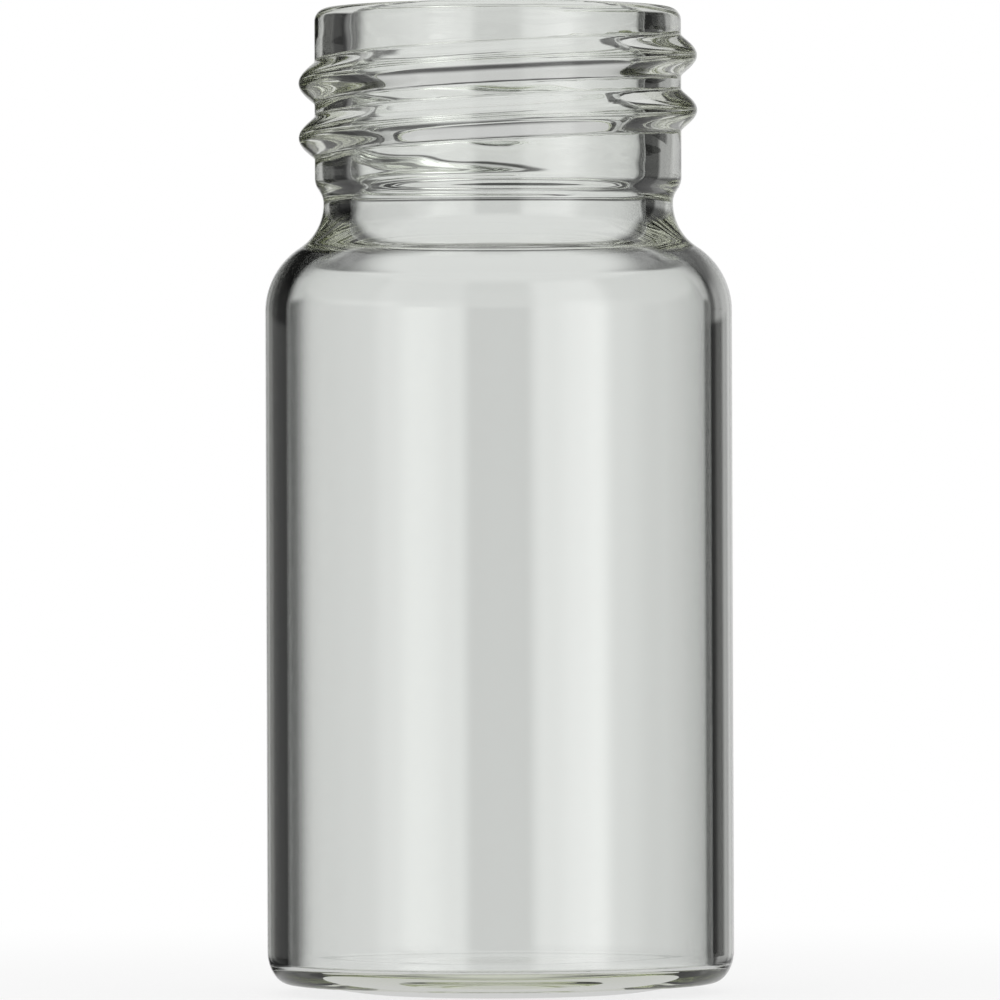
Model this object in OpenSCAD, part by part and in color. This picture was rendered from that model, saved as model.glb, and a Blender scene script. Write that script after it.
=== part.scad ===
// Screw-neck glass sample vial, open, standing on its base.
// Blown in one piece: base, straight body, shoulder, neck, rim and a raised thread.
// Millimetres, +Z up, origin at the middle of the base on the surface it stands on.

/* [Body] */
// Height from the surface it stands on to the rim
overall_height = 57; // [50:0.5:70]
// Outside diameter of the body
body_d = 27.05; // [25.5:0.05:31]
// Thickness of the body wall
wall = 1.2; // [0.8:0.1:1.8]

/* [Base] */
// Thickness of glass over the standing ring
base_t = 1.75; // [1.4:0.05:3]
// Width of the rounded heel between the body and the underside
heel_w = 1.3; // [0.8:0.1:2.2]
// Height of the rounded heel
heel_h = 1.9; // [1.2:0.1:2.6]
// Lift of the underside between the standing ring and the heel
foot_lift = 0.55; // [0.2:0.05:0.8]
// Outside diameter of the flat ring it stands on
foot_d = 14; // [12:0.5:20]
// Width of the flat ring it stands on
foot_w = 3; // [1:0.1:4]
// Rise of the hollow in the middle of the underside
pushup_h = 0.3; // [0.1:0.05:0.8]
// Rise of the floor in the middle of the inside
floor_rise = 0.2; // [0.1:0.05:0.8]
// Radius of the corner between the inside wall and the floor
inner_heel_r = 0.25; // [0.2:0.05:2]

/* [Shoulder] */
// Height from the top of the straight body to the waist under the neck
shoulder_h = 6.25; // [5.5:0.25:9]
// Radius of the outward curve at the top of the body
shoulder_r = 4.4; // [3.6:0.1:5]
// Radius of the same curve on the inside
inner_shoulder_r = 3.5; // [3:0.1:4.6]
// Diameter of the waist, the narrowest place under the neck
waist_d = 20.25; // [19.6:0.05:21]
// Height of the step from the waist out to the neck
waist_h = 1.5; // [1:0.1:2]

/* [Neck] */
// Outside diameter of the neck between the turns of the thread
neck_d = 21.25; // [21:0.05:22.5]
// Height of the straight part of the neck with its rim
neck_h = 9.8; // [8.5:0.1:12]
// Diameter of the bore through the neck
bore_d = 17.1; // [14:0.1:17.4]
// Length of the straight bore, from the rim down
bore_h = 11.3; // [10.5:0.1:12.5]
// Radius on the outer edge of the rim
rim_outer_r = 0.7; // [0.3:0.05:0.9]
// Radius on the inner edge of the rim
rim_inner_r = 0.6; // [0.3:0.05:0.9]

/* [Thread] */
// Diameter over the crest of the thread
thread_d = 23.1; // [22.8:0.1:23.9]
// Climb of the thread in one turn
thread_pitch = 3.175; // [2.8:0.025:4]
// Width of the thread where it leaves the neck
thread_w = 2.4; // [1.6:0.1:2.6]
// From the rim down to the middle of the thread's upper end
thread_top_gap = 1.95; // [1.8:0.05:3]
// From the foot of the neck up to the middle of the thread's lower end
thread_foot_gap = 1.15; // [1:0.05:2]
// Direction of the thread's upper end, from +X towards +Y
thread_end_angle = 90; // [0:15:345]
// Angle over which each end of the thread rises out of the neck
thread_ease = 42; // [20:1:90]

/* [Hidden] */
glass = [0.82, 0.87, 0.84];

// Radii and levels that follow from the sizes above
body_r = body_d / 2;
inside_r = body_r - wall;
foot_r = foot_d / 2;
pushup_r = foot_r - foot_w;
waist_r = waist_d / 2;
neck_r = neck_d / 2;
bore_r = bore_d / 2;
neck_foot_z = overall_height - neck_h;
waist_z = neck_foot_z - waist_h;
body_top_z = waist_z - shoulder_h;
bore_foot_z = overall_height - bore_h;
floor_r = inside_r - inner_heel_r;
heel_foot_r = body_r - heel_w;

// Steps in each round stretch of the outline
arc_steps = 10;
// Steps along the crowned floor and the hollow underside
crown_steps = 12;

// Points on a circle from one angle to another
function arc(x, z, r, from, to, steps = arc_steps) = [
    for (i = [0:steps])
        let (a = from + (to - from) * i / steps)
        [x + r * cos(a), z + r * sin(a)]
];

// Sum of the two radii of a double curve that starts and ends upright
function double_radius(dx, dz) = (dz * dz + dx * dx) / (2 * abs(dx));

// Double curve from one upright line to another: an arc one way, then an arc of radius
// end_r the other way, which meet with the same slope
function double_curve(x0, z0, x1, z1, end_r) =
    let (total = double_radius(x1 - x0, z1 - z0))
    let (start_r = total - end_r)
    let (turn = acos(1 - abs(x1 - x0) / total))
    let (side = sign(x1 - x0))
    let (rise = sign(z1 - z0))
    concat(
        [for (i = [0:arc_steps])
            let (a = turn * i / arc_steps)
            [x0 + side * start_r * (1 - cos(a)), z0 + rise * start_r * sin(a)]],
        [for (i = [1:arc_steps])
            let (a = turn * (1 - i / arc_steps))
            [x1 - side * end_r * (1 - cos(a)), z1 - rise * end_r * sin(a)]]
    );

// Half a wave that is level at its rim and at the axis, from the axis outwards
function crown(rim_r, level, rise) = [
    for (i = [0:crown_steps])
        let (x = rim_r * i / crown_steps)
        [x, level + rise * (1 + cos(180 * x / rim_r)) / 2]
];

// Half a wave that lifts the underside from the standing ring out to the heel
function foot_sweep() = [
    for (i = [0:arc_steps])
        let (share = i / arc_steps)
        [foot_r + (heel_foot_r - foot_r) * share, foot_lift * (1 - cos(180 * share)) / 2]
];

// Quarter of an ellipse from the underside up into the body
function heel() = [
    for (i = [1:arc_steps])
        let (a = 90 * i / arc_steps)
        [heel_foot_r + heel_w * sin(a), foot_lift + heel_h * (1 - cos(a))]
];

// The reverse of a list of points
function reversed(points) = [for (i = [len(points) - 1:-1:0]) points[i]];

// Underside from the axis out, then the heel
underside_points = concat(
    crown(pushup_r, 0, pushup_h),
    foot_sweep(),
    heel()
);

// Shoulder, waist and neck from the body up
shoulder_points = concat(
    reversed(double_curve(waist_r, waist_z, body_r, body_top_z, shoulder_r)),
    reversed(double_curve(neck_r, neck_foot_z, waist_r, waist_z,
        double_radius(neck_r - waist_r, waist_h) / 2))
);

// Over the rim from outside to inside
rim_points = concat(
    arc(neck_r - rim_outer_r, overall_height - rim_outer_r, rim_outer_r, 0, 90),
    arc(bore_r + rim_inner_r, overall_height - rim_inner_r, rim_inner_r, 90, 180)
);

// Down the bore, out under the shoulder, down the wall and along the floor to the axis
inside_points = concat(
    double_curve(bore_r, bore_foot_z, inside_r, body_top_z, inner_shoulder_r),
    arc(floor_r, base_t + inner_heel_r, inner_heel_r, 0, -90),
    reversed(crown(floor_r, base_t, floor_rise))
);

// Thread: a rounded bead whose section is swept along a right-hand helix
thread_rise = neck_h - thread_top_gap - thread_foot_gap;
thread_turns = thread_rise / thread_pitch;
thread_h = (thread_d - neck_d) / 2;
// Depth to which the bead is sunk in the neck
thread_sink = 0.25;
// Share of the bead's half width up to which its rounded back reaches
bead_reach = 0.84;
// Power that sets how full the rounded back is
bead_power = 1.3;
// Points across the rounded back, an odd number so that one lies on the crest
bead_points = 9;
// Sections of the sweep in one turn
turn_steps = 60;
thread_steps = ceil(thread_turns * turn_steps);

// Height of the bead over the neck, as a share, at t from -1 to 1 across its width
function bead_height(t) = pow(1 - t * t, bead_power);

// How far the bead has come out of the neck, from 0 at its end to 1
function eased(angle) = (1 - cos(180 * min(1, angle / thread_ease))) / 2;

// One section as [radius, height]: the two sunk corners, then the back
function bead_section(out) = concat(
    [[neck_r - 2 * thread_sink, thread_w / 2], [neck_r - 2 * thread_sink, -thread_w / 2]],
    [for (i = [0:bead_points - 1])
        let (t = bead_reach * (2 * i / (bead_points - 1) - 1))
        [neck_r - thread_sink + out * (thread_sink + thread_h * bead_height(t)), t * thread_w / 2]]
);

// All points of the sweep, one section after another
function sweep_points() = [
    for (i = [0:thread_steps])
        let (climb = thread_rise * i / thread_steps)
        let (turned = 360 * thread_turns * i / thread_steps)
        let (angle = thread_end_angle - 360 * thread_turns + turned)
        let (out = min(eased(turned), eased(360 * thread_turns - turned)))
        for (p = bead_section(out))
            [p[0] * cos(angle), p[0] * sin(angle), neck_foot_z + thread_foot_gap + climb + p[1]]
];

// Faces of a sweep whose sections each have the given number of points
function sweep_faces(sections, count) = concat(
    [[for (j = [count - 1:-1:0]) j]],
    [for (i = [0:sections - 2]) for (j = [0:count - 1])
        let (k = (j + 1) % count)
        [i * count + j, i * count + k, (i + 1) * count + k]],
    [for (i = [0:sections - 2]) for (j = [0:count - 1])
        let (k = (j + 1) % count)
        [i * count + j, (i + 1) * count + k, (i + 1) * count + j]],
    [[for (j = [0:count - 1]) (sections - 1) * count + j]]
);

module shell() {
    rotate_extrude($fn = 144)
        polygon(concat(underside_points, shoulder_points, rim_points, inside_points));
}

module thread() {
    polyhedron(points = sweep_points(), faces = sweep_faces(thread_steps + 1, bead_points + 2));
}

module vial() {
    color(glass)
        union() {
            shell();
            thread();
        }
}

vial();
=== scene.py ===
import math

import bpy
import numpy as np
from mathutils import Matrix, Vector


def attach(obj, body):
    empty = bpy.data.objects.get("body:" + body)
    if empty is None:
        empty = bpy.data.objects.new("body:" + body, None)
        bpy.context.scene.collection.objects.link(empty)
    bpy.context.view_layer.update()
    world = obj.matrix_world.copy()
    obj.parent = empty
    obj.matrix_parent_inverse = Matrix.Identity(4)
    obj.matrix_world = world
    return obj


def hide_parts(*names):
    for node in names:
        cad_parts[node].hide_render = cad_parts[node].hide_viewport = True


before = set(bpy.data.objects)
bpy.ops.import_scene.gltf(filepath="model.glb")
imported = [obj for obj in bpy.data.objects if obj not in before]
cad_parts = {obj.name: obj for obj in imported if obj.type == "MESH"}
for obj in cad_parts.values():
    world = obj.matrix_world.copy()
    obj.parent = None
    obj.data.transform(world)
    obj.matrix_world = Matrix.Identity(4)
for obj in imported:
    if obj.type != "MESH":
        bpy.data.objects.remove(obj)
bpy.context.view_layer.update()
print("stage: frame loaded")

millimetre = 0.001
degreesPerRadian = 180 / math.pi
white = (1, 1, 1, 1)


class Wire:
    # a node socket that takes part in sums: each operator adds a Math node
    def __init__(self, tree, socket):
        self.tree = tree
        self.socket = socket

    def math(self, operation, *others):
        # a Math node with this wire as its first value
        values = dict(enumerate((self, *others)))
        return addNode(self.tree, "ShaderNodeMath", {"operation": operation}, values)[0]

    def mathAfter(self, operation, first):
        # a Math node with this wire as its second value
        return addNode(self.tree, "ShaderNodeMath", {"operation": operation}, {0: first, 1: self})[0]

    def __add__(self, other):
        return self.math("ADD", other)

    def __radd__(self, other):
        return self.mathAfter("ADD", other)

    def __sub__(self, other):
        return self.math("SUBTRACT", other)

    def __rsub__(self, other):
        return self.mathAfter("SUBTRACT", other)

    def __mul__(self, other):
        return self.math("MULTIPLY", other)

    def __rmul__(self, other):
        return self.mathAfter("MULTIPLY", other)


def addNode(tree, kind, settings=None, inputs=None):
    # settings go on first, then each socket gets a value or a link; returns the outputs as wires
    node = tree.nodes.new(kind)
    for name, value in (settings or {}).items():
        setattr(node, name, value)
    for key, value in (inputs or {}).items():
        socket = node.inputs[key]
        if isinstance(value, Wire):
            tree.links.new(value.socket, socket)
        else:
            socket.default_value = value
    return [Wire(tree, output) for output in node.outputs]


def named(outputs, name):
    # the output with this name
    return next(wire for wire in outputs if wire.socket.name == name)


def smoothRamp(value, low, high):
    # 0 below low, 1 above high and a smooth step between; high may be the lower one
    kind = {"interpolation_type": "SMOOTHSTEP"}
    if low < high:
        return addNode(value.tree, "ShaderNodeMapRange", kind, {0: value, 1: low, 2: high})[0]
    return addNode(value.tree, "ShaderNodeMapRange", kind, {0: value, 1: high, 2: low, 3: 1.0, 4: 0.0})[0]


def between(value, low, high, soft):
    # 1 between low and high with smooth shoulders of the width soft, centred on the edges
    half = soft / 2
    return smoothRamp(value, low - half, low + half) * smoothRamp(value, high + half, high - half)


def happened(path, depth):
    # 0 until a ray has once been mirrored, or let through, and 1 from then on
    return named(path, depth).math("MINIMUM", 1.0)


def freshTree(owner):
    owner.use_nodes = True
    owner.node_tree.nodes.clear()
    return owner.node_tree


def addPiece(name, points, faces):
    # a mesh object at the origin, from points in metres and each face's corners
    mesh = bpy.data.meshes.new(name)
    mesh.from_pydata(points.tolist(), [], faces)
    piece = bpy.data.objects.new(name, mesh)
    bpy.context.scene.collection.objects.link(piece)
    return piece


vialSizes = {  # millimetres and degrees
    "height": 57.0,
    "bodyDiameter": 27.03,
    "wall": 1.2,
    "baseThickness": 1.75,
    "heelWidth": 1.3,
    "heelHeight": 1.9,
    "footLift": 0.55,  # how far the underside rises from the foot to the heel
    "footDiameter": 14.0,
    "footWidth": 3.0,
    "pushUp": 0.3,  # the hollow in the middle of the foot
    "floorRise": 0.2,
    "innerHeelRadius": 0.25,
    "shoulderHeight": 6.25,
    "shoulderRadius": 4.4,
    "innerShoulderRadius": 3.5,
    "waistDiameter": 20.25,
    "waistHeight": 1.5,
    "neckDiameter": 21.25,
    "neckHeight": 9.8,  # measured down from the rim, as the bore's is
    "boreDiameter": 17.1,
    "boreHeight": 11.3,
    "rimOuterRadius": 0.7,
    "rimInnerRadius": 0.6,
    "threadDiameter": 23.1,
    "threadPitch": 3.175,
    "threadWidth": 2.4,
    "threadTopGap": 1.95,  # from the thread's ends to the rim and to the neck's foot
    "threadFootGap": 1.15,
    "threadEndAngle": 90.0,
    "threadEase": 42.0,  # how far round an end takes to come out of the neck
    "threadPower": 1.3,
    "around": 288,  # faces round the vial, and below it the steps of each part of its outline
    "arcSteps": 12,
    "smallSteps": 6,
    "shoulderSteps": 16,
    "crownSteps": 24,
    "wallSteps": 24,
    "neckStep": 0.11,
}


def arcPath(x, z, radius, start, end, steps):
    # points on a circle round (x, z) from one angle to another, in degrees
    angle = np.radians(np.linspace(start, end, steps + 1))
    return np.stack([x + radius * np.cos(angle), z + radius * np.sin(angle)], axis=1)


def doubleCurve(x0, z0, x1, z1, endRadius, steps):
    # leaves (x0, z0) upright and reaches (x1, z1) upright: an arc one way, then one the other way.
    # Both turn by one angle, and their radii add up to (up * up + across * across) / (2 * across)
    across, up = x1 - x0, z1 - z0
    total = (up * up + across * across) / (2 * abs(across))
    turn = math.acos(1 - abs(across) / total)
    angle = np.linspace(0, turn, steps + 1)
    startRadius = total - endRadius
    side, rise = math.copysign(1, across), math.copysign(1, up)
    first = np.stack([x0 + side * startRadius * (1 - np.cos(angle)),
                      z0 + rise * startRadius * np.sin(angle)], axis=1)
    back = angle[::-1][1:]
    second = np.stack([x1 - side * endRadius * (1 - np.cos(back)),
                       z1 - rise * endRadius * np.sin(back)], axis=1)
    return np.concatenate([first, second])


def heelPath(footR, bodyR, lift, width, height, steps):
    # half a wave lifts the underside from the foot to the heel, then a quarter of an ellipse
    # takes it up into the wall
    share = np.linspace(0, 1, steps + 1)
    angle = share[1:] * math.pi / 2
    sweep = np.stack([footR + (bodyR - width - footR) * share,
                      lift * (1 - np.cos(math.pi * share)) / 2], axis=1)
    heel = np.stack([bodyR - width + width * np.sin(angle), lift + height * (1 - np.cos(angle))], axis=1)
    return np.concatenate([sweep, heel])


def crownPath(rimRadius, level, rise, steps):
    # half a wave, level at its rim and at the axis, from the axis outwards
    x = np.linspace(0, rimRadius, steps + 1)
    return np.stack([x, level + rise * (1 + np.cos(math.pi * x / rimRadius)) / 2], axis=1)


def straight(x0, z0, x1, z1, steps):
    # evenly spaced points of a line, without its two ends
    share = np.linspace(0, 1, steps + 1)[1:-1, None]
    return np.array([[x0, z0]]) * (1 - share) + np.array([[x1, z1]]) * share


def vialProfile(s):
    # the whole outline from the middle of the underside, up the outside, over the rim and down
    # the inside to the middle of the floor
    diameters = ("bodyDiameter", "neckDiameter", "waistDiameter", "boreDiameter", "footDiameter")
    bodyR, neckR, waistR, boreR, footR = (s[name] / 2 for name in diameters)
    insideR = bodyR - s["wall"]
    neckFoot = s["height"] - s["neckHeight"]
    waistZ = neckFoot - s["waistHeight"]
    bodyTop = waistZ - s["shoulderHeight"]
    boreFoot = s["height"] - s["boreHeight"]
    heelZ = s["footLift"] + s["heelHeight"]
    stepTotal = (s["waistHeight"] ** 2 + (neckR - waistR) ** 2) / (2 * (neckR - waistR))
    rimOut, rimIn, top = s["rimOuterRadius"], s["rimInnerRadius"], s["height"]
    cornerR = s["innerHeelRadius"]
    cornerZ = s["baseThickness"] + cornerR
    neckSteps = int((top - rimOut - neckFoot) / s["neckStep"])
    return np.concatenate([
        crownPath(footR - s["footWidth"], 0, s["pushUp"], s["crownSteps"]),
        heelPath(footR, bodyR, s["footLift"], s["heelWidth"], s["heelHeight"], s["arcSteps"]),
        straight(bodyR, heelZ, bodyR, bodyTop, s["wallSteps"]),
        doubleCurve(waistR, waistZ, bodyR, bodyTop, s["shoulderRadius"], s["shoulderSteps"])[::-1],
        doubleCurve(neckR, neckFoot, waistR, waistZ, stepTotal / 2, s["smallSteps"])[::-1][1:],
        straight(neckR, neckFoot, neckR, top - rimOut, neckSteps),
        arcPath(neckR - rimOut, top - rimOut, rimOut, 0, 90, s["smallSteps"]),
        arcPath(boreR + rimIn, top - rimIn, rimIn, 90, 180, s["smallSteps"]),
        straight(boreR, top - rimIn, boreR, boreFoot, s["arcSteps"]),
        doubleCurve(boreR, boreFoot, insideR, bodyTop, s["innerShoulderRadius"], s["shoulderSteps"]),
        straight(insideR, bodyTop, insideR, cornerZ, s["wallSteps"]),
        arcPath(insideR - cornerR, cornerZ, cornerR, 0, -90, s["arcSteps"]),
        crownPath(insideR - cornerR, s["baseThickness"], s["floorRise"], s["crownSteps"])[::-1][1:],
    ])


def threadHeight(s, angle, z):
    # height of the bead over the neck: across it a rounded back, (1 - t * t) to a power, and along
    # it a raised cosine that brings each end out of the neck
    rise = s["neckHeight"] - s["threadTopGap"] - s["threadFootGap"]
    total = 360 * rise / s["threadPitch"]
    startZ = s["height"] - s["neckHeight"] + s["threadFootGap"]
    first = np.mod(angle - (s["threadEndAngle"] - total), 360)
    height = np.zeros(np.broadcast(angle, z).shape)
    for turn in range(int(total // 360) + 1):
        along = first + 360 * turn
        t = (z - startZ - s["threadPitch"] * along / 360) / (s["threadWidth"] / 2)
        back = np.clip(1 - t * t, 0, None) ** s["threadPower"]
        ends = np.clip(np.minimum(along, total - along) / s["threadEase"], 0, 1)
        height = np.maximum(height, back * (1 - np.cos(math.pi * ends)) / 2)
    return height * (s["threadDiameter"] - s["neckDiameter"]) / 2


def closedTurning(name, radius, z, angle):
    # a closed surface from rows of rings; the first and last rows lie on the axis as one point each
    rows, around = radius.shape
    x, y = radius * np.cos(angle), radius * np.sin(angle)
    points = np.stack([x, y, z], axis=2)[1:-1].reshape(-1, 3)
    points = np.concatenate([points, [[0, 0, z[0, 0]], [0, 0, z[-1, 0]]]]) * millimetre
    ring = np.arange(around)
    after = (ring + 1) % around
    start = np.arange(rows - 3)[:, None] * around
    quads = np.stack([start + ring, start + after, start + around + after, start + around + ring], axis=2)
    last = (rows - 3) * around
    foot, peak = len(points) - 2, len(points) - 1
    lowFan = np.stack([np.full(around, foot), after, ring], axis=1)
    highFan = np.stack([np.full(around, peak), last + ring, last + after], axis=1)
    piece = addPiece(name, points, quads.reshape(-1, 4).tolist() + lowFan.tolist() + highFan.tolist())
    piece.data.polygons.foreach_set("use_smooth", np.ones(len(piece.data.polygons), bool))
    piece.data.update()
    return piece


def makeVial(s):
    # the outline turns round the axis, and the bead adds to the radius of the neck's outer wall
    profile = vialProfile(s)
    angle = np.arange(s["around"])[None, :] * 360 / s["around"]
    radius = np.repeat(profile[:, :1], s["around"], axis=1)
    z = np.repeat(profile[:, 1:], s["around"], axis=1)
    slack = 0.01
    neckWall = (radius > s["neckDiameter"] / 2 - slack) & (z > s["height"] - s["neckHeight"] - slack)
    radius = radius + np.where(neckWall, threadHeight(s, angle, z), 0)
    return closedTurning("vialGlass", radius, z, np.radians(angle))


glassFinish = {
    "tint": (0.981, 0.993, 0.984, 1.0),
    "refraction": 1.5,
    "absorbColour": (0.7, 0.73, 0.55, 1.0),
    "absorbDensity": 28.0,  # per metre
    "grainScale": 60.0,  # faint unevenness all over, with a few duller patches
    "grainDetail": 3.0,
    "grainEdges": (0.55, 0.8),
    "grainRoughness": 0.03,
    "grainStrength": 0.02,
    "grainDepth": 0.0002,
    "waveScale": 150.0,  # the neck is less even: low waves, four times longer than they are high
    "waveDetail": 1.0,
    "waveStretch": (1, 1, 4),
    "waveHeights": (0.0455, 0.048),  # metres over the base, where they begin and where they are full
    "waveDepth": 0.00006,
}


def makeGlass(f):
    material = bpy.data.materials.new("clearGlass")
    tree = freshTree(material)
    place = named(addNode(tree, "ShaderNodeTexCoord"), "Object")
    grain = addNode(tree, "ShaderNodeTexNoise", None, {
        "Vector": place,
        "Scale": f["grainScale"],
        "Detail": f["grainDetail"],
    })[0]
    roughness = smoothRamp(grain, *f["grainEdges"]) * f["grainRoughness"]
    bump = addNode(tree, "ShaderNodeBump", None, {
        "Strength": f["grainStrength"],
        "Distance": f["grainDepth"],
        "Height": grain,
    })[0]
    neck = smoothRamp(addNode(tree, "ShaderNodeSeparateXYZ", None, {0: place})[2], *f["waveHeights"])
    squeezed = {0: place, 1: f["waveStretch"]}
    waves = addNode(tree, "ShaderNodeTexNoise", None, {
        "Vector": addNode(tree, "ShaderNodeVectorMath", {"operation": "MULTIPLY"}, squeezed)[0],
        "Scale": f["waveScale"],
        "Detail": f["waveDetail"],
    })[0]
    bump = addNode(tree, "ShaderNodeBump", None, {
        "Strength": 1.0,
        "Distance": f["waveDepth"],
        "Height": waves * neck,
        "Normal": bump,
    })[0]
    shader = addNode(tree, "ShaderNodeBsdfPrincipled", None, {
        "Base Color": f["tint"],
        "Roughness": roughness,
        "Normal": bump,
        "IOR": f["refraction"],
        "Transmission Weight": 1.0,
    })[0]
    absorb = addNode(tree, "ShaderNodeVolumeAbsorption", None, {
        "Color": f["absorbColour"],
        "Density": f["absorbDensity"],
    })[0]
    addNode(tree, "ShaderNodeOutputMaterial", None, {"Surface": shader, "Volume": absorb})
    return material


vial = makeVial(vialSizes)
vial.data.materials.append(makeGlass(glassFinish))
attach(vial, "root")
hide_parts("vial")
print("stage: vial made,", len(vial.data.polygons), "faces")

floorSizes = {  # metres
    "radius": 0.30,
    "rings": 40,
    "around": 96,
    "grey": (0.86, 0.86, 0.86, 1),
    "lift": 0.8,  # by the vial the camera sees this share of pure white, and further out white alone
    "fade": (0.03, 0.10),
    "underLevel": 0.62,  # the glass sees this level under the vial, and no floor further out
    "open": (0.0138, 0.0165),
}


def makeFloor(s):
    # a flat disc: rings of points round a middle one
    rings, around = s["rings"], s["around"]
    radius = np.linspace(0, s["radius"], rings + 1)[1:, None]
    angle = np.linspace(0, 2 * math.pi, around, endpoint=False)[None, :]
    points = np.stack([radius * np.cos(angle), radius * np.sin(angle), np.zeros((rings, around))], axis=2)
    points = np.concatenate([points.reshape(-1, 3), [[0, 0, 0]]])
    ring = np.arange(around)
    after = (ring + 1) % around
    start = np.arange(rings - 1)[:, None] * around
    quads = np.stack([start + ring, start + around + ring, start + around + after, start + after], axis=2)
    fan = np.stack([np.full(around, len(points) - 1), ring, after], axis=1)
    piece = addPiece("paleFloor", points, quads.reshape(-1, 4).tolist() + fan.tolist())
    material = bpy.data.materials.new("paleSheet")
    material.cycles.emission_sampling = "NONE"
    tree = freshTree(material)
    place = named(addNode(tree, "ShaderNodeTexCoord"), "Object")
    far = addNode(tree, "ShaderNodeVectorMath", {"operation": "LENGTH"}, {0: place})[1]
    camera = named(addNode(tree, "ShaderNodeLightPath"), "Is Camera Ray")
    matt = addNode(tree, "ShaderNodeBsdfDiffuse", None, {"Color": s["grey"]})[0]
    bright = addNode(tree, "ShaderNodeEmission", None, {"Color": white, "Strength": 1.0})[0]
    clear = addNode(tree, "ShaderNodeBsdfTransparent")[0]
    lift = s["lift"] + (1 - s["lift"]) * smoothRamp(far, *s["fade"])
    seen = addNode(tree, "ShaderNodeMixShader", None, {0: lift, 1: matt, 2: bright})[0]
    under = addNode(tree, "ShaderNodeEmission", None, {"Color": white, "Strength": s["underLevel"]})[0]
    opened = smoothRamp(far, *s["open"])
    hidden = addNode(tree, "ShaderNodeMixShader", None, {0: opened, 1: under, 2: clear})[0]
    shader = addNode(tree, "ShaderNodeMixShader", None, {0: camera, 1: hidden, 2: seen})[0]
    addNode(tree, "ShaderNodeOutputMaterial", None, {"Surface": shader})
    piece.data.materials.append(material)
    return piece


makeFloor(floorSizes)

# directions are in degrees round the vial: 0 is behind it, 90 to its right, 180 towards the camera
studio = {
    "glow": 0.02,  # a little light from everywhere
    "backLevel": 0.7,  # the panel that is seen straight through the glass
    "backEdges": (-24, 27.3),
    "backSoft": (12, 6),
    "turnPitch": 45,  # the panels like it round the vial, none of them nearer to it than turnFrom
    "turnHalf": 9,
    "turnSoft": 4,
    "turnFrom": (38, 43),
    "gapEdges": (13, 24),  # degrees up: a dark gap, and then the light over it
    "gapSoft": 7,
    "gap": 0.07,
    "over": 0.62,
    "strips": {  # what a mirrored ray meets: from, to, soft edge, level
        "leftVeil": (-70, -51, 6, 0.15),
        "leftPanel": (-92, -68, 8, 0.43),
        "leftWing": (-118, -92, 10, 0.72),
        "leftHeart": (-129, -117, 8, 0.35),
        "middle": (-10.5, 14.5, 7, 0.72),
        "rightPanel": (14.5, 25, 6, 0.38),
        "rightWing": (108, 142, 24, 0.45),
        "keyHeart": (127, 147, 12, 0.5),
    },
    "climbFrom": (1.35, 1.6),  # degrees up, where the low strips give way to the high ones
    "lowStrips": {"leftDim": (-46, -10.5, 6, 0.035), "rightDim": (25, 36, 6, 0.05)},
    "highStrips": {"rightPanel": (25, 36, 6, 0.34), "rightVeil": (36, 56, 6, 0.05)},
    "fadeUp": (6, 14),  # degrees up, where all strips fade to a share of their light
    "fadeTo": 0.25,
    "leftBox": (-162.5, -117, 8, 0.9),
    "rightBox": (123, 162, 10, 1.25),
    "boxTop": (43, 38),  # degrees up, where the two boxes fade
    "band": (-14, 40, 6),  # degrees up: the panels lie in this band, with an even ceiling round it
    "ceiling": 0.75,
    "plainLight": 0.9,  # for matt surfaces
}


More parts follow.
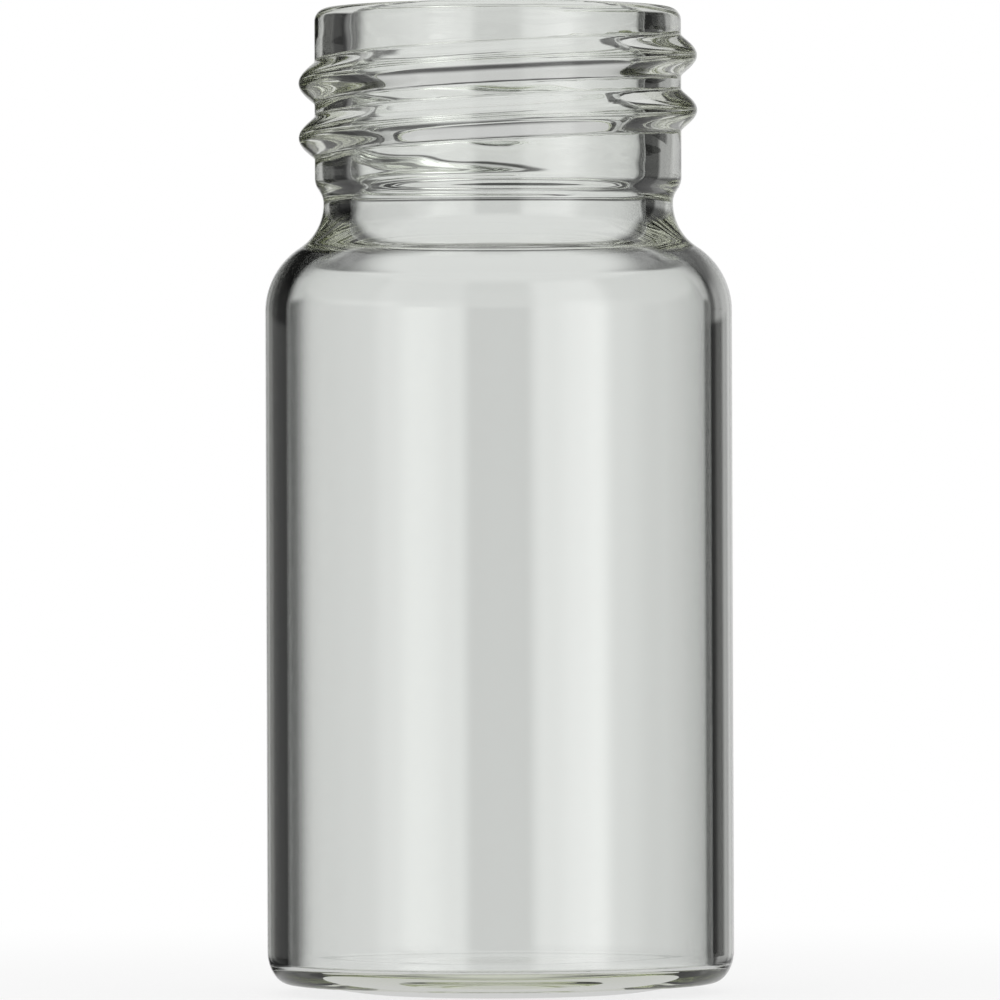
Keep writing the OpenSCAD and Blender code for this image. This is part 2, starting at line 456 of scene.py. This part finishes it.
def makeStudio(s):
    # the light from each direction: sums and products of smooth steps over its two angles
    world = bpy.context.scene.world or bpy.data.worlds.new("studio")
    bpy.context.scene.world = world
    world.cycles.sampling_method = "NONE"
    tree = freshTree(world)
    direction = named(addNode(tree, "ShaderNodeTexCoord"), "Object")
    parts = addNode(tree, "ShaderNodeSeparateXYZ", None, {0: direction})
    around = parts[0].math("ARCTAN2", parts[1]) * degreesPerRadian
    up = parts[2].math("ARCSINE") * degreesPerRadian
    mirrored = s["glow"]
    for low, high, soft, level in s["strips"].values():
        mirrored = mirrored + level * between(around, low, high, soft)
    # some strips only meet the rays that stay low, some only those that climb
    climb = smoothRamp(up, *s["climbFrom"])
    for share, strips in ((1 - climb, s["lowStrips"]), (climb, s["highStrips"])):
        for low, high, soft, level in strips.values():
            mirrored = mirrored + level * share * between(around, low, high, soft)
    path = addNode(tree, "ShaderNodeLightPath")
    short = 1 - (1 - s["fadeTo"]) * smoothRamp(up, *s["fadeUp"])
    mirrored = mirrored * short
    # two light boxes stand taller; the left one reaches high only on the outermost surface
    tall = s["fadeTo"] + (1 - s["fadeTo"]) * smoothRamp(up, *s["boxTop"])
    inside = happened(path, "Transmission Depth")
    for name, fade in (("leftBox", inside * short + (1 - inside) * tall), ("rightBox", tall)):
        low, high, soft, level = s[name]
        mirrored = mirrored + level * fade * between(around, low, high, soft)
    # straight through the glass: the back panel and one more panel at each eighth of the round
    (low, high), (softLow, softHigh) = s["backEdges"], s["backSoft"]
    back = smoothRamp(around, low - softLow / 2, low + softLow / 2)
    back = back * smoothRamp(around, high + softHigh / 2, high - softHigh / 2)
    turned = around.math("PINGPONG", s["turnPitch"] / 2)
    aside = smoothRamp(around.math("ABSOLUTE"), *s["turnFrom"])
    half, soft = s["turnHalf"], s["turnSoft"]
    others = aside * smoothRamp(turned, half + soft / 2, half - soft / 2)
    through = s["glow"] + s["backLevel"] * back.math("MAXIMUM", others)
    # over the panels comes a dark gap, and then the light from above
    gap = between(up, *s["gapEdges"], s["gapSoft"])
    over = smoothRamp(up, *s["gapEdges"])
    through = gap * s["gap"] + (1 - gap) * (over * s["over"] + (1 - over) * through)
    bounced = happened(path, "Glossy Depth")
    seen = bounced * mirrored + (1 - bounced) * through
    band = between(up, *s["band"])
    level = band * seen + (1 - band) * s["ceiling"]
    plain = named(path, "Is Diffuse Ray")
    level = plain * s["plainLight"] + (1 - plain) * level
    camera = named(path, "Is Camera Ray")
    level = camera + (1 - camera) * level
    shader = addNode(tree, "ShaderNodeBackground", None, {"Color": white, "Strength": level})[0]
    addNode(tree, "ShaderNodeOutputWorld", None, {"Surface": shader})


makeStudio(studio)

flags = {  # dark cards behind the body, left and right: millimetres and degrees
    "distance": 60.0,
    "foot": -40.0,
    "top": (43.0, 45.5),
    "left": (-50, -26, 11),  # outer edge, inner edge and how soft the inner one is
    "right": (50, 31.4, 4.3),
    "level": 0.02,
    "columns": 12,
    "rows": 4,
}


def makeFlag(name, s, outer, inner, soft):
    # a bent card on a circle round the vial; its inner and top edges fade out
    reach = inner + math.copysign(soft / 2, inner - outer)
    turn = np.radians(np.linspace(outer, reach, s["columns"] + 1))
    turn, z = np.meshgrid(turn, np.linspace(s["foot"], s["top"][1], s["rows"] + 1))
    points = np.stack([s["distance"] * np.sin(turn), s["distance"] * np.cos(turn), z], axis=2) * millimetre
    rows, columns = turn.shape
    corner = (np.arange(rows - 1)[:, None] * columns + np.arange(columns - 1)).reshape(-1, 1)
    quads = corner + np.array([0, 1, columns + 1, columns])
    piece = addPiece(name, points.reshape(-1, 3), quads.tolist())
    material = bpy.data.materials.new(name)
    material.cycles.emission_sampling = "NONE"
    tree = freshTree(material)
    place = named(addNode(tree, "ShaderNodeTexCoord"), "Object")
    parts = addNode(tree, "ShaderNodeSeparateXYZ", None, {0: place})
    around = parts[0].math("ARCTAN2", parts[1]) * degreesPerRadian
    dark = smoothRamp(around, reach, 2 * inner - reach)
    dark = dark * smoothRamp(parts[2], s["top"][1] * millimetre, s["top"][0] * millimetre)
    bounced = happened(addNode(tree, "ShaderNodeLightPath"), "Glossy Depth")
    clear = addNode(tree, "ShaderNodeBsdfTransparent")[0]
    card = addNode(tree, "ShaderNodeEmission", None, {"Strength": s["level"]})[0]
    shader = addNode(tree, "ShaderNodeMixShader", None, {0: dark * (1 - bounced), 1: clear, 2: card})[0]
    addNode(tree, "ShaderNodeOutputMaterial", None, {"Surface": shader})
    piece.data.materials.append(material)
    piece.visible_camera = piece.visible_diffuse = piece.visible_shadow = False
    return piece


makeFlag("leftFlag", flags, *flags["left"])
makeFlag("rightFlag", flags, *flags["right"])

cameraSetup = {  # millimetres, with the roll in degrees and the clip in metres
    "distance": 560.0,
    "height": 28.0,
    "aim": 28.515,
    "aside": 0.045,
    "roll": -0.2,
    "sensor": 36.0,
    "lens": 347.9616,
    "clip": (0.01, 10),
}


def makeCamera(s):
    # far off and level with the vial's middle, aimed a very little up
    data = bpy.data.cameras.new("camera")
    data.sensor_width = s["sensor"]
    data.lens = s["lens"]
    camera = bpy.data.objects.new("camera", data)
    bpy.context.scene.collection.objects.link(camera)
    place = Vector((s["aside"], -s["distance"], s["height"])) * millimetre
    aim = Vector((s["aside"], 0, s["aim"])) * millimetre
    turn = (aim - place).to_track_quat("-Z", "Y").to_matrix().to_4x4()
    camera.matrix_world = Matrix.Translation(place) @ turn @ Matrix.Rotation(math.radians(s["roll"]), 4, "Z")
    data.clip_start, data.clip_end = s["clip"]
    bpy.context.scene.camera = camera


makeCamera(cameraSetup)

lightTurns = 40  # light turns back many times inside the thick base and the thread
scene = bpy.context.scene
scene.view_settings.view_transform = "Standard"
scene.cycles.max_bounces = lightTurns
scene.cycles.glossy_bounces = lightTurns
scene.cycles.transmission_bounces = lightTurns
print("stage: studio and camera made")
